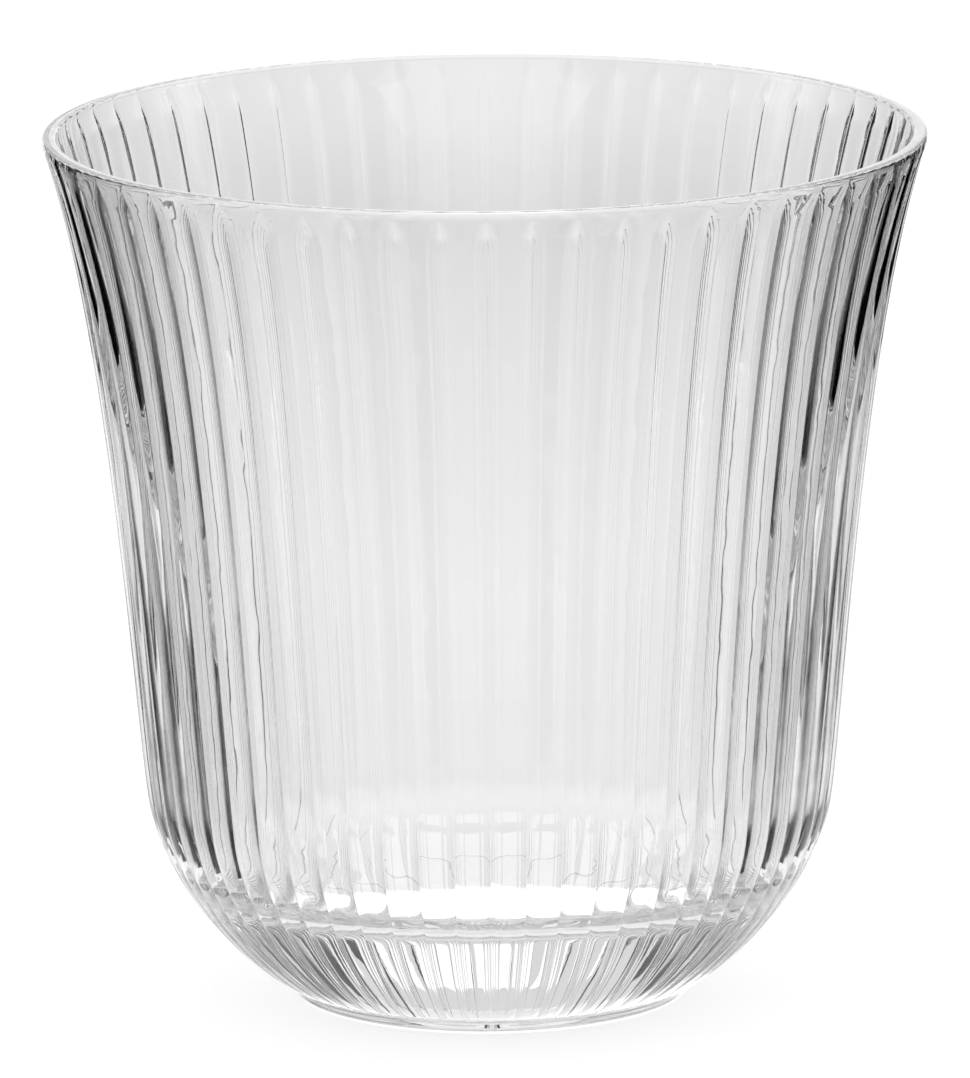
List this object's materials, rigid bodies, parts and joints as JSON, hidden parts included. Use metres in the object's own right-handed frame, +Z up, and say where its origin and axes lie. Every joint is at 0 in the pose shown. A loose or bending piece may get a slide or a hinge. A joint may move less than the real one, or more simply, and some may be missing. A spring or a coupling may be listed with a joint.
{
  "type": "tumbler",
  "caption": "Clear glass tumbler with a vertically ribbed bowl, flared mouth, round bottom and a small plain foot, for holding a drink.",
  "frame": {"origin": "centre of the foot's underside, where the tumbler stands", "axes": "+Z up along the tumbler's axis, out of the mouth; +X and +Y are any two directions across it"},
  "size_m": [0.088, 0.088, 0.088],
  "materials": {
    "clear_glass": "clear, colourless, polished"
  },
  "bodies": {
    "root": {"ribbed_bowl": "clear_glass", "foot": "clear_glass"}
  },
  "joints": []
}
